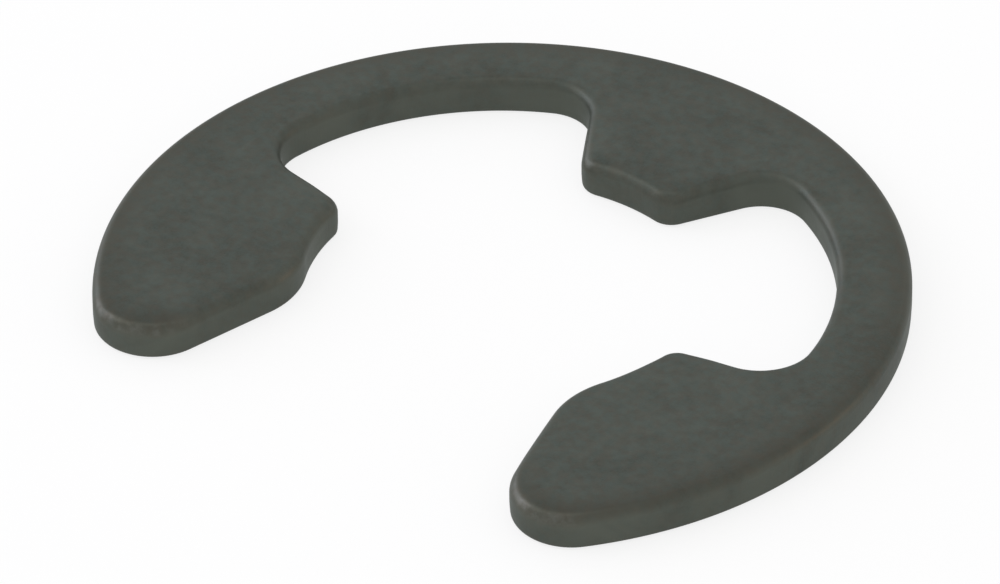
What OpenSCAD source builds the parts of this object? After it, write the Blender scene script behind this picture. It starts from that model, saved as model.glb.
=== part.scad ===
// External E-type retaining ring, stamped from spring steel strip in one piece.
// The axis of the shaft that it holds is the Z axis. The underside lies on z = 0,
// the middle prong points along +Y and the mouth opens toward -Y.

/* [Ring] */
// Outer diameter of the ring
outer_d = 29.4; // [28.4:0.1:31]
// Thickness of the strip that the ring is stamped from
thickness = 1.5; // [1.2:0.05:2]
// Narrowest width of the curved band, at the back of each scallop
band_w = 2.7; // [2.2:0.05:3.2]

/* [Lands that grip the groove] */
// Diameter of the circle that the ends of the three prongs lie on
land_d = 14.8; // [14.2:0.1:15.4]
// Angle that the middle prong's land spans around the axis, corner to corner
middle_land_deg = 30.2; // [27:0.2:34]
// Angle below the X axis at which each end prong's land begins, on the scallop side
end_land_from_deg = 0.8; // [0:0.2:3]
// Angle below the X axis at which each end prong's land ends, at the mouth
end_land_to_deg = 36; // [34:0.2:38]
// How far the relaxed end prongs sit toward the middle prong, so that they grip
end_land_shift = 0.34; // [0:0.02:0.5]

/* [Prongs] */
// Angle between each side of the middle prong and the Y axis
middle_flank_deg = 30.4; // [27:0.2:33]
// Angle between the scallop side of each end prong and the X axis
end_flank_deg = 8.4; // [5:0.2:11]
// Angle between each edge of the mouth and the Y axis
mouth_edge_deg = 14.8; // [12:0.2:18]

/* [Scallops] */
// Radius of the long arc at the back of each scallop
scallop_r = 10.85; // [10.6:0.05:11.1]
// Direction of each scallop's middle, measured up from the X axis
scallop_dir_deg = 41.3; // [39:0.1:44]
// Radius of the scallop's corner beside the middle prong
scallop_middle_r = 1.7; // [1.3:0.05:2.1]
// Radius of the scallop's corner beside the end prong
scallop_end_r = 1.85; // [1.4:0.05:2.3]

/* [Corner radii in plan] */
// Radius on both corners of the middle prong
middle_tip_r = 0.9; // [0.75:0.05:1.1]
// Radius on the scallop corner of each end prong
end_tip_r = 0.75; // [0.75:0.05:1]
// Radius where each land runs into the mouth
throat_r = 3.3; // [2.6:0.1:3.6]
// Radius on the two outer corners of the mouth
outer_corner_r = 2.2; // [1.6:0.1:2.6]

/* [Edges] */
// Radius along the upper edges, where the punch drew the strip down
upper_edge_r = 0.35; // [0.2:0.01:0.45]
// Radius along the lower edges, left by tumbling
lower_edge_r = 0.18; // [0.1:0.01:0.3]

/* [Hidden] */
$fn = 144;
steel = [0.31, 0.325, 0.305];
outer_r = outer_d / 2;
land_r = land_d / 2;
axis = [0, 0];
end_centre = [0, end_land_shift];
scallop_centre = on_circle(axis, outer_r - band_w - scallop_r, scallop_dir_deg);
// directions outward along the three kinds of straight edge, on the +X side
middle_flank = [sin(middle_flank_deg), cos(middle_flank_deg)];
end_flank = [cos(end_flank_deg), sin(end_flank_deg)];
mouth_edge = [sin(mouth_edge_deg), -cos(mouth_edge_deg)];
// sharp corners of the prongs before they are rounded
middle_corner = on_circle(axis, land_r, 90 - middle_land_deg / 2);
end_corner = on_circle(end_centre, land_r, -end_land_from_deg);
throat_corner = on_circle(end_centre, land_r, -end_land_to_deg);
// the corner arcs reach this far past their neighbours, so that all join cleanly
join = 0.0003;
// the bands of rounded edge: their width, how far the flat faces reach under them,
// how far inside the wall they stand, how far they reach down into the strip and
// how far their short straight steps may stand off a true arc
edge_w = 0.86 * min(middle_tip_r, end_tip_r);
face_inset = 0.74 * min(middle_tip_r, end_tip_r);
edge_seat = 0.012;
edge_foot = 0.1;
edge_sag = 0.006;
edge_steps = 4;

// Plan geometry. An edge is [0, point, direction] where it is straight, and
// [side, centre, radius] where it is an arc: side is 1 where the steel is inside
// the circle and -1 where it is outside. Edges run with the steel on their left.

function on_circle(c, r, a) = c + r * [cos(a), sin(a)];
function left_of(d) = [-d[1], d[0]];
function unit(v) = v / norm(v);
function flip(p) = [-p[0], p[1]];
function bearing(c, p) = atan2(p[1] - c[1], p[0] - c[0]);
function nearest(a, b, to) = norm(a - to) <= norm(b - to) ? a : b;

// the same edge moved into the steel by h
function moved(e, h) =
    e[0] == 0 ? [0, e[1] + h * left_of(e[2]), e[2]] : [e[0], e[1], e[2] - e[0] * h];

// where a straight edge crosses a circle, at the crossing nearest to a point
function line_meets_circle(p, d, c, r, to) =
    let (m = p + d * ((c - p) * d), h = sqrt(max(0, r * r - (c - m) * (c - m))))
    nearest(m + h * d, m - h * d, to);

// where two circles cross, at the crossing nearest to a point
function circle_meets_circle(c0, r0, c1, r1, to) =
    let (
        gap = norm(c1 - c0),
        x = (gap * gap + r0 * r0 - r1 * r1) / (2 * gap),
        h = sqrt(max(0, r0 * r0 - x * x)),
        u = (c1 - c0) / gap
    )
    nearest(c0 + x * u + h * left_of(u), c0 + x * u - h * left_of(u), to);

// where two edges cross, at the crossing nearest to a point
function crossing(a, b, to) =
    a[0] == 0 ? line_meets_circle(a[1], a[2], b[1], b[2], to)
    : b[0] == 0 ? line_meets_circle(b[1], b[2], a[1], a[2], to)
    : circle_meets_circle(a[1], a[2], b[1], b[2], to);

// the point of an edge that lies nearest to a point
function foot(e, p) =
    e[0] == 0 ? e[1] + e[2] * ((p - e[1]) * e[2]) : e[1] + e[2] * unit(p - e[1]);

// The outline's edges on the +X side, from the middle prong round to the mouth
right_edges = [
    [-1, axis, land_r],
    [0, middle_corner, middle_flank],
    [-1, scallop_centre, scallop_r],
    [0, end_corner, -end_flank],
    [-1, end_centre, land_r],
    [0, throat_corner, mouth_edge],
    [1, axis, outer_r]
];

// The corners between them: [radius, 1 for a tip or -1 for a hollow, sharp corner]
right_corners = [
    [middle_tip_r, 1, middle_corner],
    [scallop_middle_r, -1, line_meets_circle(middle_corner, middle_flank,
        scallop_centre, scallop_r, middle_corner + 6 * middle_flank)],
    [scallop_end_r, -1, line_meets_circle(end_corner, end_flank,
        scallop_centre, scallop_r, end_corner + 6 * end_flank)],
    [end_tip_r, 1, end_corner],
    [throat_r, 1, throat_corner],
    [outer_corner_r, 1, line_meets_circle(throat_corner, mouth_edge,
        axis, outer_r, throat_corner + 9 * mouth_edge)]
];

// Each corner becomes an arc: [side, centre, radius, tangent point, tangent point]
fillets = [
    for (i = [0:len(right_corners) - 1])
        let (
            k = right_corners[i],
            a = right_edges[i],
            b = right_edges[i + 1],
            c = crossing(moved(a, k[1] * k[0]), moved(b, k[1] * k[0]), k[2])
        )
        [k[1], c, k[0], foot(a, c), foot(b, c)]
];

module disc(c, r) {
    translate(c) circle(r = r);
}

module both_sides() {
    children();
    mirror([1, 0]) children();
}

// The part of a disc between two points of its rim
module sector(c, r, p, q) {
    reach = 1.2 * r;
    intersection() {
        disc(c, r);
        polygon([
            c,
            c + reach * unit(p - c),
            c + 1.5 * reach * unit(p + q - 2 * c),
            c + reach * unit(q - c)
        ]);
    }
}

// The open space inside the ring, with its mouth, grown by h
module window(h) {
    p = [for (f = fillets) for (q = [f[3], f[4]]) q + h * f[0] * unit(f[1] - q)];
    n = len(p);
    out = 1.4 * outer_r * unit(p[n - 1]);
    difference() {
        union() {
            polygon(concat(
                p,
                [out, [out[0], -1.5 * outer_r]],
                [[-out[0], -1.5 * outer_r], flip(out)],
                [for (i = [n - 1:-1:0]) flip(p[i])]
            ));
            // the middle land, the end lands and the scallops with their corners
            sector(axis, land_r + h, p[0], flip(p[0]));
            both_sides() {
                sector(end_centre, land_r + h, p[7], p[8]);
                sector(scallop_centre, scallop_r + h, p[3], p[4]);
                for (f = fillets) if (f[0] < 0) disc(f[1], f[2] + h + join);
            }
        }
        // the rounded tips
        both_sides() for (f = fillets) if (f[0] > 0) disc(f[1], f[2] - h + join);
    }
}

// The outline of the ring in plan, drawn in by h
module outline(h) {
    difference() {
        disc(axis, outer_r - h);
        window(h);
    }
}

// The outline in order, with the steel on the left of each piece. A straight piece
// is [0, from, to] and an arc is [side, centre, radius, from, to].
right_side = [
    fillets[0],
    [0, fillets[0][4], fillets[1][3]],
    fillets[1],
    [-1, scallop_centre, scallop_r, fillets[1][4], fillets[2][3]],
    fillets[2],
    [0, fillets[2][4], fillets[3][3]],
    fillets[3],
    [-1, end_centre, land_r, fillets[3][4], fillets[4][3]],
    fillets[4],
    [0, fillets[4][4], fillets[5][3]],
    fillets[5]
];
left_side = [
    for (i = [len(right_side) - 1:-1:0])
        let (s = right_side[i])
        s[0] == 0 ? [0, flip(s[2]), flip(s[1])]
        : [s[0], flip(s[1]), s[2], flip(s[4]), flip(s[3])]
];
pieces = concat(
    [[-1, axis, land_r, flip(fillets[0][3]), fillets[0][3]]],
    right_side,
    [[1, axis, outer_r, fillets[5][4], flip(fillets[5][4])]],
    left_side
);

// the angle that an arc turns through, positive where it turns left
function turn(s) =
    let (a = bearing(s[1], s[3]), b = bearing(s[1], s[4]), d = s[0] * (b - a))
    s[0] * (d < 0 ? d + 360 : d);

// how many steps an arc is drawn in, so that no chord stands off it by over edge_sag
function steps(s) = max(3, ceil(abs(turn(s)) / (2 * acos(1 - edge_sag / s[2]))));

// points all the way along the outline, drawn in by h
function path(h) = [
    for (s = pieces)
        if (s[0] == 0) s[1] + h * left_of(unit(s[2] - s[1]))
        else
            let (n = steps(s), a = bearing(s[1], s[3]), t = turn(s))
            for (i = [0:n - 1]) on_circle(s[1], s[2] - s[0] * h, a + t * i / n)
];

// A band all round the outline, with a closed section of [inset, height] points
module edge_band(section) {
    rows = [for (q = section) [for (p = path(q[0])) [p[0], p[1], q[1]]]];
    n = len(rows[0]);
    m = len(section);
    polyhedron(
        points = [for (r = rows) each r],
        faces = [
            for (j = [0:m - 1], i = [0:n - 1])
                let (
                    a = j * n + i,
                    b = j * n + (i + 1) % n,
                    c = (j + 1) % m * n + (i + 1) % n,
                    d = (j + 1) % m * n + i
                )
                each [[a, c, b], [a, d, c]]
        ]
    );
}

// A quarter round from the wall at height z to a flat face, upward or downward
function quarter_round(r, z, up) = [
    for (i = [0:edge_steps])
        let (a = 90 * i / edge_steps)
        [edge_seat + (r - edge_seat) * (1 - cos(a)), z + up * r * sin(a)]
];
function backward(list) = [for (i = [len(list) - 1:-1:0]) list[i]];

module upper_edge() {
    z = thickness - upper_edge_r;
    edge_band(concat(
        [[edge_w, z - edge_foot], [edge_seat, z - edge_foot]],
        quarter_round(upper_edge_r, z, 1),
        [[edge_w, thickness]]
    ));
}

module lower_edge() {
    z = lower_edge_r;
    edge_band(concat(
        [[edge_w, 0]],
        backward(quarter_round(lower_edge_r, z, -1)),
        [[edge_seat, z + edge_foot], [edge_w, z + edge_foot]]
    ));
}

module retaining_ring() {
    color(steel) {
        translate([0, 0, lower_edge_r])
            linear_extrude(thickness - upper_edge_r - lower_edge_r) outline(0);
        linear_extrude(thickness) outline(face_inset);
        upper_edge();
        lower_edge();
    }
}

retaining_ring();
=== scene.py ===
"""Looks for an external E-type retaining ring, stamped in one piece from spring steel.

The ring is redrawn from the same named sizes as the CAD solid, with the soft edges that the
punch and the tumbling barrel leave, and dressed in oiled black phosphate. The ring's and the
camera's lengths are in millimetres. The lamps' and the paper's are in metres, as the Blender
scene itself is.
"""
import logging
import math
from dataclasses import dataclass, field
from enum import Enum

import bpy
import numpy as np
from mathutils import Matrix, Vector
from mathutils.geometry import delaunay_2d_cdt
from mathutils.kdtree import KDTree


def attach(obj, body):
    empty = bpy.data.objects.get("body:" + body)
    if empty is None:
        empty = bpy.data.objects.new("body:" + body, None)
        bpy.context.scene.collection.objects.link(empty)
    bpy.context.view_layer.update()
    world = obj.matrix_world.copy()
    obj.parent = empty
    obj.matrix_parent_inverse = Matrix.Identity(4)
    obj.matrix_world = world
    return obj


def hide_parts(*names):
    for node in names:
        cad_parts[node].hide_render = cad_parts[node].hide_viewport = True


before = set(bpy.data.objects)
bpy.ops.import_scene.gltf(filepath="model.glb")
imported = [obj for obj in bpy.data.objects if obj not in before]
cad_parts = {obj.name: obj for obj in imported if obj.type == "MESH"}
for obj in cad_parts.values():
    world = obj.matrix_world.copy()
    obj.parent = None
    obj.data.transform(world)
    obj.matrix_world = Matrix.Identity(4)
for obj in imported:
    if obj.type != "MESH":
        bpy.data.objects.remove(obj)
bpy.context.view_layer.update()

NODE = "retaining_ring"
BODY = "root"
MM = 0.001
WHITE = "#FFFFFF"
# Sockets of a Mix node for colours, by number, because their names are also those of others
SHARE, UNDER, OVER, MIXED = 0, 6, 7, 2

log = logging.getLogger("retaining_ring")


def linear(colour: str) -> tuple[float, float, float, float]:
    """Turns an sRGB hex colour into linear RGBA.

    Args:
        colour: six hex digits after a hash sign.

    Returns:
        The linear red, green, blue and an alpha of 1.
    """
    parts = [int(colour[i:i + 2], 16) / 255 for i in (1, 3, 5)]
    red, green, blue = (c / 12.92 if c <= 0.04045 else ((c + 0.055) / 1.055) ** 2.4 for c in parts)
    return red, green, blue, 1.0


def per_metre(size_mm: float) -> float:
    """Gives the texture scale at which one feature of a pattern is size_mm across."""
    return 1.0 / (size_mm * MM)


def add_node(
    tree: bpy.types.NodeTree,
    kind: str,
    inputs: dict[str | int, object] | None = None,
    **settings: object,
) -> bpy.types.Node:
    """Adds a shader node with its settings and links.

    Args:
        tree: the node tree that the node is added to.
        kind: Blender's name of the node type.
        inputs: socket name or number to a constant, or to the output socket that feeds it.
        settings: properties of the node itself.

    Returns:
        The new node.
    """
    node = tree.nodes.new(kind)
    for name, value in settings.items():
        setattr(node, name, value)
    for key, value in (inputs or {}).items():
        socket = node.inputs[key]
        if isinstance(value, bpy.types.NodeSocket):
            tree.links.new(value, socket)
        else:
            socket.default_value = value
    return node


def on_circle(centre: np.ndarray, radius: float, degrees: float) -> np.ndarray:
    """Returns the point of a circle at an angle from the X axis."""
    turn = math.radians(degrees)
    return centre + radius * np.array([math.cos(turn), math.sin(turn)])


def left_of(way: np.ndarray) -> np.ndarray:
    """Returns a direction turned a quarter to the left."""
    return np.array([-way[1], way[0]])


def unit(way: np.ndarray) -> np.ndarray:
    """Returns a direction scaled to length 1."""
    return way / np.hypot(*way)


def flip(point: np.ndarray) -> np.ndarray:
    """Mirrors a point to the other side of the Y axis."""
    return np.array([-point[0], point[1]])


def nearest(options: list[np.ndarray], point: np.ndarray) -> np.ndarray:
    """Returns the option that lies nearest to a point."""
    return min(options, key=lambda option: float(np.hypot(*(option - point))))


class Corner(Enum):
    """Whether a corner arc of the outline rounds a tip or fills a hollow."""

    TIP = 1
    HOLLOW = -1


@dataclass(frozen=True)
class Straight:
    """A straight edge of the outline, running with the steel on its left."""

    start: np.ndarray
    way: np.ndarray

    def moved(self, inset: float) -> "Straight":
        """Returns the same edge moved into the steel."""
        return Straight(self.start + inset * left_of(self.way), self.way)

    def foot(self, point: np.ndarray) -> np.ndarray:
        """Returns the point of the edge that lies nearest to a point."""
        return self.start + self.way * float(np.dot(point - self.start, self.way))


@dataclass(frozen=True)
class Round:
    """A circular edge of the outline; side is 1 where the steel lies inside the circle."""

    centre: np.ndarray
    radius: float
    side: int

    def moved(self, inset: float) -> "Round":
        """Returns the same edge moved into the steel."""
        return Round(self.centre, self.radius - self.side * inset, self.side)

    def foot(self, point: np.ndarray) -> np.ndarray:
        """Returns the point of the edge that lies nearest to a point."""
        return self.centre + self.radius * unit(point - self.centre)


def crossing(first: Straight | Round, second: Straight | Round, near: np.ndarray) -> np.ndarray:
    """Finds where two edges cross.

    Args:
        first: one edge.
        second: the other edge, at least one of the two being round.
        near: a point close to the crossing that is wanted.

    Returns:
        The crossing nearest to that point.
    """
    if isinstance(second, Straight):
        first, second = second, first
    if isinstance(first, Straight):
        middle = first.foot(second.centre)
        gap = middle - second.centre
        reach = math.sqrt(max(0.0, second.radius ** 2 - float(np.dot(gap, gap)))) * first.way
        return nearest([middle + reach, middle - reach], near)
    gap = second.centre - first.centre
    length = float(np.hypot(*gap))
    along = (length ** 2 + first.radius ** 2 - second.radius ** 2) / (2 * length)
    aside = math.sqrt(max(0.0, first.radius ** 2 - along ** 2))
    way = gap / length
    foot = first.centre + along * way
    return nearest([foot + aside * left_of(way), foot - aside * left_of(way)], near)


@dataclass(frozen=True)
class RingSizes:
    """The ring's driving sizes, the same as in the CAD source."""

    outer_d: float = 29.4
    thickness: float = 1.5
    band_w: float = 2.7
    land_d: float = 14.8
    middle_land_deg: float = 30.2
    end_land_from_deg: float = 0.8
    end_land_to_deg: float = 36.0
    end_land_shift: float = 0.34
    middle_flank_deg: float = 30.4
    end_flank_deg: float = 8.4
    mouth_edge_deg: float = 14.8
    scallop_r: float = 10.85
    scallop_dir_deg: float = 41.3
    scallop_middle_r: float = 1.7
    scallop_end_r: float = 1.85
    middle_tip_r: float = 0.9
    end_tip_r: float = 0.75
    throat_r: float = 3.3
    outer_corner_r: float = 2.2


@dataclass(frozen=True)
class Span:
    """One piece of the closed outline: an edge between two of its points."""

    edge: Straight | Round
    start: np.ndarray
    end: np.ndarray

    def turn(self) -> float:
        """Measures how far an arc turns.

        Returns:
            The angle in radians, positive to the left.
        """
        before = self.start - self.edge.centre
        after = self.end - self.edge.centre
        angle = math.atan2(after[1], after[0]) - math.atan2(before[1], before[0])
        return self.edge.side * ((self.edge.side * angle) % (2 * math.pi))

    def length(self) -> float:
        """Measures the piece along the outline.

        Returns:
            Its length.
        """
        if isinstance(self.edge, Straight):
            return float(np.hypot(*(self.end - self.start)))
        return abs(self.turn()) * self.edge.radius

    def points(self, inset: float, count: int) -> np.ndarray:
        """Samples the piece, moved into the steel.

        Args:
            inset: how far the piece is moved into the steel.
            count: how many points it gives, the last one short of its end.

        Returns:
            The points, one to a row.
        """
        share = np.arange(count)[:, None] / count
        if isinstance(self.edge, Straight):
            away = inset * left_of(unit(self.end - self.start))
            return self.start + away + share * (self.end - self.start)
        begin = self.start - self.edge.centre
        angle = math.atan2(begin[1], begin[0]) + share[:, 0] * self.turn()
        radius = self.edge.radius - self.edge.side * inset
        return self.edge.centre + radius * np.stack([np.cos(angle), np.sin(angle)], -1)

    def distance(self, points: np.ndarray) -> np.ndarray:
        """Measures how far some points lie from the piece.

        Args:
            points: the points, one to a row.

        Returns:
            One distance for each point.
        """
        ends = np.minimum(np.hypot(*(points - self.start).T), np.hypot(*(points - self.end).T))
        if isinstance(self.edge, Straight):
            along = (points - self.start) @ unit(self.end - self.start)
            aside = np.abs((points - self.start) @ left_of(unit(self.end - self.start)))
            return np.where((along > 0) & (along < self.length()), aside, ends)
        out = points - self.edge.centre
        begin = self.start - self.edge.centre
        angle = np.arctan2(out[:, 1], out[:, 0]) - math.atan2(begin[1], begin[0])
        within = (self.edge.side * angle) % (2 * math.pi) < abs(self.turn())
        return np.where(within, np.abs(np.hypot(*out.T) - self.edge.radius), ends)

    def mirrored(self) -> "Span":
        """Mirrors the piece to the other side of the Y axis.

        Returns:
            The mirrored piece, run the other way, so that the steel stays on its left.
        """
        start, end = flip(self.end), flip(self.start)
        if isinstance(self.edge, Straight):
            return Span(Straight(start, unit(end - start)), start, end)
        return Span(Round(flip(self.edge.centre), self.edge.radius, self.edge.side), start, end)

    def on_rim(self, sizes: RingSizes, touch: float = 0.01) -> bool:
        """Says whether the piece touches the ring's outer circle."""
        return max(np.hypot(*self.start), np.hypot(*self.end)) > sizes.outer_d / 2 - touch

    def tip_share(self, widest_r: float) -> float:
        """Says how pointed the piece is.

        Args:
            widest_r: the radius from which an arc no longer counts as pointed.

        Returns:
            Near 1 for the sharpest tips, 0 for straights and wide arcs, and below 0 for hollows.
        """
        if isinstance(self.edge, Straight) or self.edge.radius > widest_r:
            return 0.0
        return self.edge.side * (1.0 - self.edge.radius / widest_r)


class Outline:
    """The ring's closed outline in plan, which can be drawn in by any inset."""

    # No piece of the outline has fewer points than this
    LEAST_POINTS = 8
    # How far from the prongs' corners the scallops' corners and the mouth's outer ones lie, roughly
    SCALLOP_AWAY = 6.0
    MOUTH_AWAY = 9.0

    def __init__(self, sizes: RingSizes, step: float) -> None:
        """Works out the pieces of the outline.

        Args:
            sizes: the driving sizes.
            step: the greatest distance between two points along it.
        """
        self.spans = self._spans(sizes)
        wanted = [math.ceil(span.length() / step) for span in self.spans]
        self.counts = [max(self.LEAST_POINTS, count) for count in wanted]

    def _spans(self, sizes: RingSizes) -> list[Span]:
        """Lays the edges round the ring, rounds their corners and trims them to each other.

        Args:
            sizes: the driving sizes.

        Returns:
            The pieces all the way round, with the steel on their left.
        """
        axis = np.zeros(2)
        land_r, outer_r = sizes.land_d / 2, sizes.outer_d / 2
        end_centre = np.array([0.0, sizes.end_land_shift])
        scallop_away = outer_r - sizes.band_w - sizes.scallop_r
        scallop_centre = on_circle(axis, scallop_away, sizes.scallop_dir_deg)
        middle_way = on_circle(axis, 1, 90 - sizes.middle_flank_deg)
        end_way = on_circle(axis, 1, sizes.end_flank_deg)
        mouth_way = on_circle(axis, 1, sizes.mouth_edge_deg - 90)
        middle_corner = on_circle(axis, land_r, 90 - sizes.middle_land_deg / 2)
        end_corner = on_circle(end_centre, land_r, -sizes.end_land_from_deg)
        throat_corner = on_circle(end_centre, land_r, -sizes.end_land_to_deg)

        middle_land = Round(axis, land_r, -1)
        middle_flank = Straight(middle_corner, middle_way)
        scallop = Round(scallop_centre, sizes.scallop_r, -1)
        end_flank = Straight(end_corner, -end_way)
        end_land = Round(end_centre, land_r, -1)
        mouth_edge = Straight(throat_corner, mouth_way)
        rim = Round(axis, outer_r, 1)
        edges = [middle_land, middle_flank, scallop, end_flank, end_land, mouth_edge, rim]

        scallop_middle = crossing(
            middle_flank, scallop, middle_corner + self.SCALLOP_AWAY * middle_way)
        scallop_end = crossing(end_flank, scallop, end_corner + self.SCALLOP_AWAY * end_way)
        outer_corner = crossing(mouth_edge, rim, throat_corner + self.MOUTH_AWAY * mouth_way)
        corners = [
            (sizes.middle_tip_r, Corner.TIP, middle_corner),
            (sizes.scallop_middle_r, Corner.HOLLOW, scallop_middle),
            (sizes.scallop_end_r, Corner.HOLLOW, scallop_end),
            (sizes.end_tip_r, Corner.TIP, end_corner),
            (sizes.throat_r, Corner.TIP, throat_corner),
            (sizes.outer_corner_r, Corner.TIP, outer_corner),
        ]
        fillets = []
        for before, after, (radius, corner, sharp) in zip(edges, edges[1:], corners):
            inset = corner.value * radius
            centre = crossing(before.moved(inset), after.moved(inset), sharp)
            arc = Round(centre, radius, corner.value)
            fillets.append(Span(arc, before.foot(centre), after.foot(centre)))
        right = [fillets[0]]
        for edge, before, after in zip(edges[1:], fillets, fillets[1:]):
            right += [Span(edge, before.end, after.start), after]
        top = Span(middle_land, flip(right[0].start), right[0].start)
        back = Span(rim, right[-1].end, flip(right[-1].end))
        return [top, *right, back, *(span.mirrored() for span in reversed(right))]

    def path(self, inset: float) -> np.ndarray:
        """Returns the points all the way round, drawn in by an inset."""
        return np.concatenate([span.points(inset, n) for span, n in zip(self.spans, self.counts)])

    def distance(self, points: np.ndarray) -> np.ndarray:
        """Measures how far each of some points lies from the outline."""
        return np.min([span.distance(points) for span in self.spans], axis=0)

    def spread(self, shares: list[float], reach: float) -> np.ndarray:
        """Gives each point its piece's share, faded into its neighbours.

        Args:
            shares: one number from -1 to 1 for each piece of the outline.
            reach: how far a share fades along the neighbours.

        Returns:
            One number from -1 to 1 for each point of the path.
        """
        raw = np.repeat(shares, self.counts)
        path = self.path(0.0)
        gap = np.hypot(*(path[:, None] - path[None]).transpose(2, 0, 1))
        weight = np.exp(-(gap / reach) ** 2)
        return weight @ raw / weight.sum(1)


class Mark(Enum):
    """What the mesh tells the finish about each of its points, from 0 to 1."""

    WEAR = "edge_wear"
    WALL = "cut_wall"
    RIM_BROWN = "rim_brown"


@dataclass(frozen=True)
class Band:
    """The values of a pattern between which something comes in."""

    low: float
    high: float


@dataclass(frozen=True)
class Patterns:
    """The outputs that tell the finish what lies where."""

    wear: bpy.types.NodeSocket
    wall: bpy.types.NodeSocket
    # oil: where the face is a darker brown along the outer rim
    oil: bpy.types.NodeSocket
    crystals: bpy.types.NodeSocket
    clouds: bpy.types.NodeSocket
    hues: bpy.types.NodeSocket
    stains: bpy.types.NodeSocket
    patches: bpy.types.NodeSocket
    streaks: bpy.types.NodeSocket
    bare: bpy.types.NodeSocket


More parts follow.
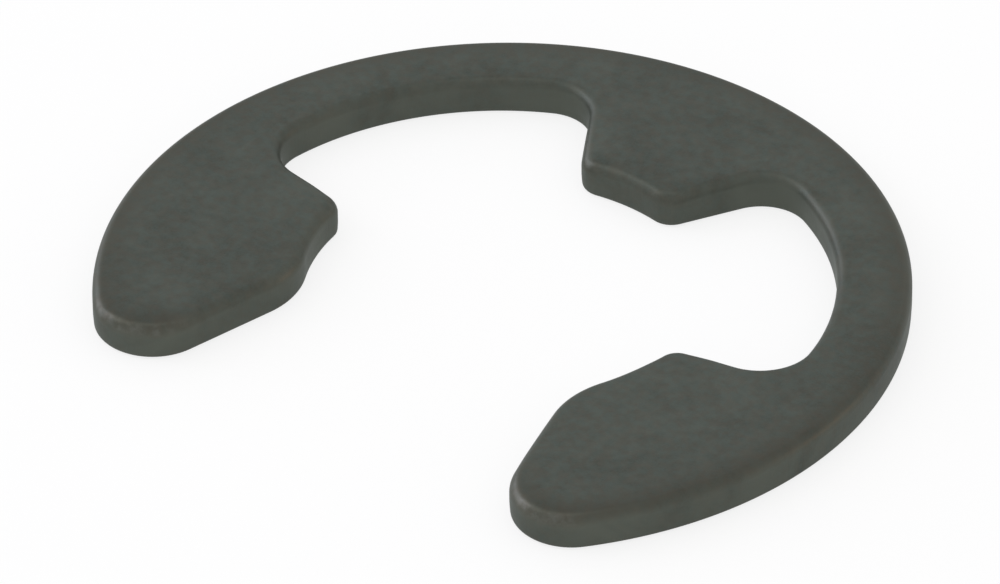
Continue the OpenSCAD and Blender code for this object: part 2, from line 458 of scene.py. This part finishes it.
@dataclass(frozen=True)
class PhosphatedSteel:
    """Spring steel under a black phosphate coat that is sealed with oil.

    The coat is a crust of fine crystals: a matt, greenish dark grey with faint clouds where it
    grew thicker. The oil film lends it a low sheen. Along the edges, where the parts rub in the
    barrel, the coat is thinner and the steel shows through a little.
    """

    name: str = "oiled black phosphated spring steel"
    # The coat goes from dark to pale in soft patches
    coat_dark: str = "#41453E"
    coat_pale: str = "#50554E"
    pale_band: Band = Band(0.38, 0.62)
    # Its crystals have a faint cast, blue-green in some places and brown in others
    green_cast: str = "#4A5351"
    brown_cast: str = "#504B45"
    hue_band: Band = Band(0.42, 0.58)
    cast_band: Band = Band(0.3, 0.7)
    cast_share: float = 0.6
    # The punch left the cut walls paler
    sheared: str = "#575B53"
    sheared_band: Band = Band(0.2, 0.7)
    # A darker brown on the face along the outer rim
    browned: str = "#40372C"
    browned_band: Band = Band(0.2, 0.6)
    # The coat is thin where the parts rub, and the most rubbed spots are almost bare
    thinned: str = "#5C594F"
    thinned_band: Band = Band(0.2, 0.9)
    bare: str = "#7C8383"
    rubbed_band: Band = Band(0.4, 1.0)
    bare_band: Band = Band(0.45, 0.72)
    bare_share: float = 0.25
    # A thin metal sheen under a dull crust, a little more metallic where it is bare
    metallic: float = 0.5
    bare_metallic: float = 0.2
    specular: float = 0.3
    # The crystals trap light that comes in at a glancing angle
    glance: str = "#B4BABA"
    # Clouds and cut walls are duller, rubbed edges smoother
    roughness: float = 0.41
    cloud_dulling: float = 0.16
    wall_dulling: float = 0.06
    rub_smoothing: float = 0.12
    # The crystals are about 0.01 mm, drawn eight times as coarse so that they show
    crystal_mm: float = 0.08
    # Clouds are a few dozen crystals across; stains are where the oil ran together
    cloud_mm: float = 0.4
    stain_mm: float = 3.2
    # The patches lie where stains and clouds fall together, with this share of the clouds
    cloud_share: float = 0.55
    # Drag lines that the punch leaves on the cut walls, drawn at the spacing that shows. They
    # run along the ring's thickness, so their pattern is drawn long in Z by this scale
    drag_mm: float = 0.09
    drag_scale: float = 0.06
    # Relief of the crust and the drag lines, and the parts of the clouds and the lines in it
    relief_mm: float = 0.006
    relief_strength: float = 0.5
    cloud_relief: float = 0.8
    drag_relief: float = 1.2

    def material(self) -> bpy.types.Material:
        """Builds the shader of the finish.

        Returns:
            The new material.
        """
        material = bpy.data.materials.new(self.name)
        material.use_nodes = True
        tree = material.node_tree
        tree.nodes.clear()
        patterns = self._patterns(tree)
        metal = add_node(tree, "ShaderNodeMath", {
            0: patterns.bare, 1: self.bare_metallic, 2: self.metallic}, operation="MULTIPLY_ADD")
        shader = add_node(tree, "ShaderNodeBsdfPrincipled", {
            "Base Color": self._colour(tree, patterns),
            "Metallic": metal.outputs[0],
            "Roughness": self._roughness(tree, patterns),
            "Normal": self._relief(tree, patterns),
            "Specular IOR Level": self.specular,
            "Specular Tint": linear(self.glance),
        })
        add_node(tree, "ShaderNodeOutputMaterial", {"Surface": shader.outputs["BSDF"]})
        return material

    def _patterns(self, tree: bpy.types.NodeTree) -> Patterns:
        """Adds the nodes that say what lies where.

        Args:
            tree: the material's node tree.

        Returns:
            Their outputs.
        """
        wear, wall, oil = (
            add_node(tree, "ShaderNodeAttribute", attribute_name=mark.value).outputs["Fac"]
            for mark in (Mark.WEAR, Mark.WALL, Mark.RIM_BROWN)
        )
        where = add_node(tree, "ShaderNodeTexCoord").outputs["Object"]
        crystals = add_node(tree, "ShaderNodeTexNoise", {
            "Vector": where, "Scale": per_metre(self.crystal_mm), "Detail": 3.0, "Roughness": 0.6,
        }).outputs["Fac"]
        cloud_noise = add_node(tree, "ShaderNodeTexNoise", {
            "Vector": where, "Scale": per_metre(self.cloud_mm), "Detail": 4.0, "Roughness": 0.62,
        }).outputs
        clouds = cloud_noise["Fac"]
        hues = add_node(tree, "ShaderNodeSeparateColor", {
            "Color": cloud_noise["Color"]}).outputs["Blue"]
        stains = add_node(tree, "ShaderNodeTexNoise", {
            "Vector": where, "Scale": per_metre(self.stain_mm), "Detail": 3.0, "Roughness": 0.55,
            "Distortion": 0.6,
        }).outputs["Fac"]
        patches = add_node(tree, "ShaderNodeMix", {
            "Factor": self.cloud_share, "A": stains, "B": clouds}).outputs["Result"]
        drawn_out = add_node(tree, "ShaderNodeMapping", {
            "Vector": where, "Scale": (1.0, 1.0, self.drag_scale)}).outputs["Vector"]
        streaks = add_node(tree, "ShaderNodeTexNoise", {
            "Vector": drawn_out, "Scale": per_metre(self.drag_mm), "Detail": 2.0}).outputs["Fac"]
        rubbed = add_node(tree, "ShaderNodeMapRange", {
            "Value": wear, "From Min": self.rubbed_band.low, "From Max": self.rubbed_band.high,
        }).outputs["Result"]
        bare = add_node(tree, "ShaderNodeMapRange", {
            "Value": clouds, "From Min": self.bare_band.low, "From Max": self.bare_band.high,
            "To Max": rubbed,
        }).outputs["Result"]
        return Patterns(wear, wall, oil, crystals, clouds, hues, stains, patches, streaks, bare)

    def _colour(self, tree: bpy.types.NodeTree, patterns: Patterns) -> bpy.types.NodeSocket:
        """Adds the nodes of the colour: the coat, and the layers over it.

        Args:
            tree: the material's node tree.
            patterns: what lies where.

        Returns:
            The output that gives the colour.
        """
        pale = add_node(tree, "ShaderNodeMapRange", {
            "Value": patterns.patches,
            "From Min": self.pale_band.low, "From Max": self.pale_band.high,
        })
        coat = add_node(tree, "ShaderNodeMix", {
            SHARE: pale.outputs["Result"],
            UNDER: linear(self.coat_dark), OVER: linear(self.coat_pale),
        }, data_type="RGBA")
        brown = add_node(tree, "ShaderNodeMapRange", {
            "Value": patterns.hues,
            "From Min": self.hue_band.low, "From Max": self.hue_band.high,
        })
        cast = add_node(tree, "ShaderNodeMix", {
            SHARE: brown.outputs["Result"],
            UNDER: linear(self.green_cast), OVER: linear(self.brown_cast),
        }, data_type="RGBA")
        # Each layer: its pattern, the values between which it comes in, its most and its colour
        layers = (
            (patterns.crystals, self.cast_band, self.cast_share, cast.outputs[MIXED]),
            (patterns.stains, self.sheared_band, patterns.wall, linear(self.sheared)),
            (patterns.patches, self.browned_band, patterns.oil, linear(self.browned)),
            (patterns.patches, self.thinned_band, patterns.wear, linear(self.thinned)),
            (patterns.bare, Band(0.0, 1.0), self.bare_share, linear(self.bare)),
        )
        colour = coat.outputs[MIXED]
        for pattern, band, most, tint in layers:
            share = add_node(tree, "ShaderNodeMapRange", {
                "Value": pattern, "From Min": band.low, "From Max": band.high, "To Max": most})
            layer = add_node(tree, "ShaderNodeMix", {
                SHARE: share.outputs["Result"], UNDER: colour, OVER: tint}, data_type="RGBA")
            colour = layer.outputs[MIXED]
        return colour

    def _roughness(self, tree: bpy.types.NodeTree, patterns: Patterns) -> bpy.types.NodeSocket:
        """Adds the nodes of the roughness.

        Args:
            tree: the material's node tree.
            patterns: what lies where.

        Returns:
            The output that gives the roughness.
        """
        rough = self.roughness - self.cloud_dulling / 2
        for pattern, change in (
            (patterns.clouds, self.cloud_dulling),
            (patterns.wall, self.wall_dulling),
            (patterns.wear, -self.rub_smoothing),
        ):
            rough = add_node(tree, "ShaderNodeMath", {
                0: pattern, 1: change, 2: rough}, operation="MULTIPLY_ADD").outputs[0]
        return rough

    def _relief(self, tree: bpy.types.NodeTree, patterns: Patterns) -> bpy.types.NodeSocket:
        """Adds the nodes of the fine relief.

        Args:
            tree: the material's node tree.
            patterns: what lies where.

        Returns:
            The output that gives the bumped normal.
        """
        crust = add_node(tree, "ShaderNodeMath", {
            0: patterns.clouds, 1: self.cloud_relief, 2: patterns.crystals,
        }, operation="MULTIPLY_ADD")
        drag = add_node(tree, "ShaderNodeMath", {
            0: patterns.streaks, 1: patterns.wall}, operation="MULTIPLY")
        both = add_node(tree, "ShaderNodeMath", {
            0: drag.outputs[0], 1: self.drag_relief, 2: crust.outputs[0]}, operation="MULTIPLY_ADD")
        return add_node(tree, "ShaderNodeBump", {
            "Strength": self.relief_strength,
            "Distance": self.relief_mm * MM,
            "Height": both.outputs[0],
        }).outputs["Normal"]


@dataclass(frozen=True)
class Row:
    """One point of the ring's section, from which a row of points runs all the way round.

    It has its inset from the outline, its height, how far the punch drew it down, and its marks.
    """

    inset: float
    height: float
    drop: float = 0.0
    wear: float = 0.0
    wall: float = 0.0


@dataclass
class RetainingRing:
    """The ring itself: its outline swept through the soft-edged section of a stamped part."""

    sizes: RingSizes = field(default_factory=RingSizes)
    finish: PhosphatedSteel = field(default_factory=PhosphatedSteel)
    # The punch drew the face down toward its edge, over this width and by this much, and ever
    # more steeply, by this power
    shoulder_w: float = 1.6
    shoulder_drop: float = 0.11
    shoulder_power: int = 3
    # How much more the sharpest tips, and how much less the tightest hollows, were drawn down,
    # the widest corner that counts as one, and how far that fades along the outline
    tip_extra: float = 2.8
    hollow_less: float = 1.0
    tip_widest_r: float = 4.0
    tip_reach: float = 0.9
    # Tumbling rounded both edges, and rubbed the coat most at the tips and far from the axis
    upper_edge_r: float = 0.36
    lower_edge_r: float = 0.18
    rub_everywhere: float = 0.3
    rub_at_tips: float = 1.1
    rub_widest_r: float = 6.0
    # Wear where each rounded edge begins and ends, and how much more at its middle
    upper_wear: tuple[float, float] = (0.25, 0.75)
    lower_wear: tuple[float, float] = (0.1, 0.55)
    # Rows on the flats beside the rounded edges: how far beyond them, and the wear there
    face_rows: tuple[tuple[float, float], ...] = ((0.02, 0.2), (0.06, 0.1), (0.12, 0.0))
    under_rows: tuple[tuple[float, float], ...] = ((0.2, 0.0), (0.03, 0.1))
    # A darker brown on the face along the outer rim, as far in as this and at most by this share,
    # and how far that fades along the outline
    rim_brown_width: float = 1.5
    rim_brown: float = 0.45
    rim_reach: float = 1.2
    # Below this height the wall tore rather than sheared, and at its foot it leans in by this
    tear_from: float = 0.6
    tear_lean: float = 0.02
    # How many steps the lower edge, the wall and the upper edge have, the greatest distance
    # between points of the outline, and the size of the triangles that fill the faces
    lower_steps: int = 6
    wall_steps: int = 8
    upper_steps: int = 12
    step: float = 0.15
    grid: float = 0.28
    # A triangle's corner inside a face stays this share of the grid away from its border
    grid_clear: float = 0.6

    def section(self) -> list[Row]:
        """Draws the ring's section from the underside to the top.

        Returns:
            The rows, from the underside's innermost to the face's innermost.
        """
        lower, upper = self.lower_edge_r, self.upper_edge_r
        top = self.sizes.thickness - upper
        rows = [Row(lower + beyond, 0.0, wear=wear) for beyond, wear in self.under_rows]
        least, more = self.lower_wear
        for number in range(self.lower_steps + 1):
            angle = math.radians(90 * number / self.lower_steps)
            inset = self.tear_lean + (lower - self.tear_lean) * (1 - math.sin(angle))
            height = lower * (1 - math.cos(angle))
            wear = more * math.sin(2 * angle) + least
            rows.append(Row(inset, height, wear=wear, wall=number / self.lower_steps))
        for number in range(1, self.wall_steps):
            share = number / self.wall_steps
            height = lower + (top - lower) * share
            lean = self.tear_lean * max(0.0, 1 - (height - lower) / (self.tear_from - lower))
            rows.append(Row(lean, height, float(self.drop(0.0)) * share, wall=1.0))
        least, more = self.upper_wear
        for number in range(self.upper_steps + 1):
            angle = math.radians(90 * number / self.upper_steps)
            inset = upper * (1 - math.cos(angle))
            height = top + upper * math.sin(angle)
            wear = least + more * math.sin(2 * angle)
            wall = 1 - number / self.upper_steps
            rows.append(Row(inset, height, float(self.drop(inset)), wear, wall))
        for beyond, wear in self.face_rows:
            inset = upper + beyond
            rows.append(Row(inset, self.sizes.thickness, float(self.drop(inset)), wear))
        return rows

    def drop(self, inset: float | np.ndarray) -> float | np.ndarray:
        """Says how far the face is drawn down at some distance from the outline."""
        near = np.maximum(0.0, 1 - inset / self.shoulder_w)
        return self.shoulder_drop * near ** self.shoulder_power

    def oiled(self, inset: float | np.ndarray, rim: np.ndarray) -> np.ndarray:
        """Says how brown the face is at some distance from the outline."""
        away = np.maximum(0.0, 1 - inset / self.rim_brown_width)
        return self.rim_brown * rim * away * away * (3 - 2 * away)

    def build(self) -> bpy.types.Object:
        """Builds the ring's mesh, with its marks for the finish.

        Returns:
            The ring's object.
        """
        outline = Outline(self.sizes, self.step)
        edge = outline.path(0.0)
        pointed = [span.tip_share(self.tip_widest_r) for span in outline.spans]
        tips = outline.spread(pointed, self.tip_reach)
        drawn = 1 + np.where(tips > 0, self.tip_extra, self.hollow_less) * tips
        rubbed = [span.tip_share(self.rub_widest_r) for span in outline.spans]
        far_out = np.hypot(*edge.T) / (self.sizes.outer_d / 2)
        rub = outline.spread(rubbed, self.tip_reach) * far_out
        on_rim = [1.0 if span.on_rim(self.sizes) else 0.0 for span in outline.spans]
        rim = outline.spread(on_rim, self.rim_reach)

        rows = self.section()
        points: list[np.ndarray] = []
        marks: dict[Mark, list[np.ndarray]] = {mark: [] for mark in Mark}
        for row in rows:
            points.append(np.column_stack([outline.path(row.inset), row.height - row.drop * drawn]))
            marks[Mark.WEAR].append(row.wear * (self.rub_everywhere + self.rub_at_tips * rub))
            marks[Mark.WALL].append(np.full(len(edge), row.wall))
            marks[Mark.RIM_BROWN].append(self.oiled(row.inset, rim) * (1 - row.wall) * (row.height > 0))
        n = len(edge)
        faces = [
            (j * n + i, j * n + (i + 1) % n, (j + 1) * n + (i + 1) % n, (j + 1) * n + i)
            for j in range(len(rows) - 1) for i in range(n)
        ]
        for number, upward in ((0, False), (len(rows) - 1, True)):
            spare = sum(len(laid) for laid in points)
            inner, triangles = self._fill(points[number][:, :2], number * n, spare)
            height = browned = np.zeros(len(inner))
            if upward:
                gaps = np.hypot(*(inner[:, None] - edge[None]).transpose(2, 0, 1))
                beside = np.argmin(gaps, axis=1)
                away = outline.distance(inner)
                height = self.sizes.thickness - self.drop(away) * drawn[beside]
                browned = self.oiled(away, rim[beside])
            points.append(np.column_stack([inner, height]))
            marks[Mark.WEAR].append(np.zeros(len(inner)))
            marks[Mark.WALL].append(np.zeros(len(inner)))
            marks[Mark.RIM_BROWN].append(browned)
            faces.extend(tuple(t) if upward else tuple(reversed(t)) for t in triangles)
        return self._object(np.concatenate(points), faces, marks)

    def _object(
        self, points: np.ndarray, faces: list[tuple[int, ...]], marks: dict[Mark, list[np.ndarray]]
    ) -> bpy.types.Object:
        """Makes the ring's object from its points and faces.

        Args:
            points: the points in millimetres, one to a row.
            faces: the faces, as numbers of points.
            marks: the marks of all points, in the same order.

        Returns:
            The object, linked to the scene.
        """
        mesh = bpy.data.meshes.new("retaining_ring_soft")
        mesh.from_pydata((points * MM).tolist(), [], faces)
        mesh.validate()
        for mark, values in marks.items():
            layer = mesh.attributes.new(mark.value, "FLOAT", "POINT")
            limited = np.clip(np.concatenate(values), 0, 1).astype(np.float32)
            layer.data.foreach_set("value", limited)
        mesh.shade_smooth()
        ring = bpy.data.objects.new("ring_stamping", mesh)
        bpy.context.scene.collection.objects.link(ring)
        return ring

    def _fill(
        self, border: np.ndarray, first: int, spare: int
    ) -> tuple[np.ndarray, list[list[int]]]:
        """Fills a flat face with even triangles.

        Args:
            border: the points of the face's closed border.
            first: the number of the border's first point in the whole mesh.
            spare: the number that the first point inside the face will have.

        Returns:
            The points inside the face, and the triangles, turned to face up.
        """
        tree = KDTree(len(border))
        for number, (x, y) in enumerate(border):
            tree.insert((x, y, 0.0), number)
        tree.balance()
        low, high = border.min(0), border.max(0)
        clear = self.grid_clear * self.grid
        inner = []
        # Rows of equal-sided triangles, every second row shifted by half a side
        for row, y in enumerate(np.arange(low[1], high[1], self.grid * math.sqrt(0.75))):
            for x in np.arange(low[0] + (row % 2) * self.grid / 2, high[0], self.grid):
                _, _, gap = tree.find((x, y, 0.0))
                if gap > clear and self._inside(border, x, y):
                    inner.append((x, y))
        count = len(border)
        around = [(i, (i + 1) % count) for i in range(count)]
        inside_only, weld = 1, 1e-7
        _, _, triangles, given, _, _ = delaunay_2d_cdt(
            [Vector(p) for p in border] + [Vector(p) for p in inner],
            around, [list(range(count))], inside_only, weld)
        origins = [min(origin) for origin in given]
        numbers = [first + k if k < count else spare + k - count for k in origins]
        return np.array(inner), [[numbers[k] for k in triangle] for triangle in triangles]

    @staticmethod
    def _inside(border: np.ndarray, x: float, y: float) -> bool:
        """Says whether a point lies inside a closed border.

        Args:
            border: the points of the border.
            x: the point's place along X.
            y: the point's place along Y.

        Returns:
            Whether it lies inside.
        """
        x0, y0 = border.T
        x1, y1 = np.roll(border, -1, 0).T
        spans = (y0 > y) != (y1 > y)
        cut = x0[spans] + (y - y0[spans]) * (x1[spans] - x0[spans]) / (y1[spans] - y0[spans])
        return bool(np.count_nonzero(cut > x) % 2)

    def dress(self, ring: bpy.types.Object) -> None:
        """Gives the ring its finish and ties it to the CAD node that it stands for.

        Args:
            ring: the ring's object.
        """
        ring.data.materials.append(self.finish.material())
        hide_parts(NODE)
        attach(ring, BODY)


def outward(azimuth: float, elevation: float) -> Vector:
    """Gives the direction from the ring to something that stands round it.

    Args:
        azimuth: degrees from -Y toward +X.
        elevation: degrees above the floor.

    Returns:
        A unit vector.
    """
    a, e = math.radians(azimuth), math.radians(elevation)
    return Vector((math.sin(a) * math.cos(e), -math.cos(a) * math.cos(e), math.sin(e)))


@dataclass(frozen=True)
class PhotoCamera:
    """The camera, at the angle and distance from which the ring was photographed."""

    azimuth: float = 37.859
    elevation: float = 36.243
    distance: float = 396.9
    lens: float = 397.85
    sensor: float = 36.0
    # The camera leans to its side by this angle
    lean_deg: float = -0.805
    # The ring's axis falls this far right of and below the middle of the picture
    axis_right: float = 0.0904
    axis_below: float = 0.4776
    # The nearest and the farthest that it sees
    nearest: float = 10.0
    farthest: float = 20000.0

    def place(self) -> bpy.types.Object:
        """Makes the camera and gives it to the scene.

        Returns:
            The camera's object.
        """
        data = bpy.data.cameras.new("photo_camera")
        data.lens, data.sensor_width = self.lens, self.sensor
        data.clip_start, data.clip_end = self.nearest * MM, self.farthest * MM
        camera = bpy.data.objects.new("photo_camera", data)
        bpy.context.scene.collection.objects.link(camera)
        back = outward(self.azimuth, self.elevation)
        lean = Matrix.Rotation(math.radians(self.lean_deg), 3, "Z")
        to_axis = (-back).to_track_quat("-Z", "Y").to_matrix() @ lean
        axis_seen = Vector((-self.axis_right, self.axis_below, -self.distance))
        sight = (to_axis @ axis_seen * MM).normalized()
        camera.location = back * self.distance * MM
        camera.rotation_euler = (sight.to_track_quat("-Z", "Y").to_matrix() @ lean).to_euler()
        bpy.context.scene.camera = camera
        return camera


@dataclass(frozen=True)
class SoftLamp:
    """A softbox; its brightness is what a mirror would show of it, where 1 is white."""

    name: str
    azimuth: float
    elevation: float
    distance: float
    width: float
    height: float
    brightness: float
    colour: str = WHITE

    def place(self) -> bpy.types.Object:
        """Makes the lamp, turned toward the ring.

        Returns:
            The lamp's object.
        """
        data = bpy.data.lights.new(self.name, "AREA")
        data.shape = "RECTANGLE"
        data.size, data.size_y = self.width, self.height
        data.energy = self.brightness * math.pi * self.width * self.height
        data.color = linear(self.colour)[:3]
        lamp = bpy.data.objects.new(self.name, data)
        bpy.context.scene.collection.objects.link(lamp)
        way = outward(self.azimuth, self.elevation)
        lamp.location = way * self.distance
        lamp.rotation_euler = way.to_track_quat("Z", "Y").to_euler()
        return lamp


@dataclass(frozen=True)
class BackgroundPaper:
    """White background paper, lit until it burns out, so that only a faint shadow shows on it."""

    name: str = "white background paper"
    sheet: str = "#FAFAFA"
    # This share of it takes the ring's shadow; the rest is white to the camera and in reflections
    shadow_share: float = 0.2

    def material(self) -> bpy.types.Material:
        """Builds the shader of the paper.

        Returns:
            The new material.
        """
        material = bpy.data.materials.new(self.name)
        material.use_nodes = True
        tree = material.node_tree
        tree.nodes.clear()
        rays = add_node(tree, "ShaderNodeLightPath").outputs
        seen = rays["Is Camera Ray"]
        for other in ("Is Glossy Ray", "Is Transmission Ray"):
            seen = add_node(tree, "ShaderNodeMath", {
                0: seen, 1: rays[other]}, operation="MAXIMUM").outputs[0]
        share = add_node(tree, "ShaderNodeMath", {
            0: seen, 1: 1 - self.shadow_share}, operation="MULTIPLY").outputs[0]
        matt = add_node(tree, "ShaderNodeBsdfDiffuse", {"Color": linear(self.sheet)})
        glow = add_node(tree, "ShaderNodeEmission", {"Color": linear(WHITE), "Strength": 1.0})
        both = add_node(tree, "ShaderNodeMixShader", {
            0: share, 1: matt.outputs["BSDF"], 2: glow.outputs["Emission"]})
        add_node(tree, "ShaderNodeOutputMaterial", {"Surface": both.outputs["Shader"]})
        return material


@dataclass
class Studio:
    """A white paper floor with soft lamps round it, as for a catalogue picture."""

    camera: PhotoCamera = field(default_factory=PhotoCamera)
    # Name, azimuth, elevation, distance, width, height, brightness and colour
    lamps: tuple[SoftLamp, ...] = (
        SoftLamp("softbox_back", 217.0, 33.0, 0.8, 1.2, 0.42, 0.35),
        SoftLamp("softbox_top", 0.0, 80.0, 0.7, 0.25, 0.25, 0.9),
        SoftLamp("softbox_high", -52.0, 48.0, 0.7, 0.35, 0.35, 1.0),
        SoftLamp("softbox_left", -84.0, 11.0, 0.7, 0.7, 0.34, 1.9, "#EEECFF"),
        SoftLamp("window_left", -70.0, 31.0, 0.7, 0.2, 0.2, 3.4, "#EEECFF"),
        SoftLamp("softbox_right", 128.0, 8.0, 0.7, 0.3, 0.2, 1.3, "#FFC090"),
    )
    ambient: float = 0.8
    paper: BackgroundPaper = field(default_factory=BackgroundPaper)
    # The paper lies just under the ring, flat in the middle. Its rim is turned up all round, so
    # that low views have white behind the ring too: the radius and height of each circle
    paper_level: float = -0.00002
    paper_rim: tuple[tuple[float, float], ...] = (
        (0.9, 0.0), (1.0, 0.015), (1.06, 0.05), (1.1, 0.12))
    paper_sides: int = 72

    def build(self) -> None:
        """Makes the world, the paper, the lamps and the camera."""
        self._world()
        self._sweep()
        for lamp in self.lamps:
            lamp.place()
        self.camera.place()
        bpy.context.scene.view_settings.view_transform = "Standard"

    def _sweep(self) -> None:
        """Lays the paper that the ring rests on."""
        turns = [2 * math.pi * number / self.paper_sides for number in range(self.paper_sides)]
        points = [(0.0, 0.0, self.paper_level)] + [
            (radius * math.cos(turn), radius * math.sin(turn), self.paper_level + height)
            for radius, height in self.paper_rim for turn in turns
        ]
        n = self.paper_sides
        faces = [(0, 1 + i, 1 + (i + 1) % n) for i in range(n)]
        for circle in range(len(self.paper_rim) - 1):
            inner = 1 + circle * n
            outer = inner + n
            faces += [
                (inner + i, outer + i, outer + (i + 1) % n, inner + (i + 1) % n) for i in range(n)]
        mesh = bpy.data.meshes.new("paper_sweep")
        mesh.from_pydata(points, [], faces)
        mesh.shade_smooth()
        mesh.materials.append(self.paper.material())
        sweep = bpy.data.objects.new("paper_sweep", mesh)
        bpy.context.scene.collection.objects.link(sweep)

    def _world(self) -> None:
        """Makes the soft, even light of the room."""
        world = bpy.data.worlds.new("studio")
        bpy.context.scene.world = world
        world.use_nodes = True
        tree = world.node_tree
        tree.nodes.clear()
        room = add_node(tree, "ShaderNodeBackground", {
            "Color": linear(WHITE), "Strength": self.ambient})
        add_node(tree, "ShaderNodeOutputWorld", {"Surface": room.outputs["Background"]})


def main() -> None:
    """Builds the studio and the ring."""
    logging.basicConfig(level=logging.INFO, format="%(name)s: %(message)s")
    Studio().build()
    ring = RetainingRing()
    piece = ring.build()
    ring.dress(piece)
    mesh = piece.data
    log.info("%s: %d points, %d faces", piece.name, len(mesh.vertices), len(mesh.polygons))
    bpy.context.view_layer.update()


if __name__ == "__main__":
    main()
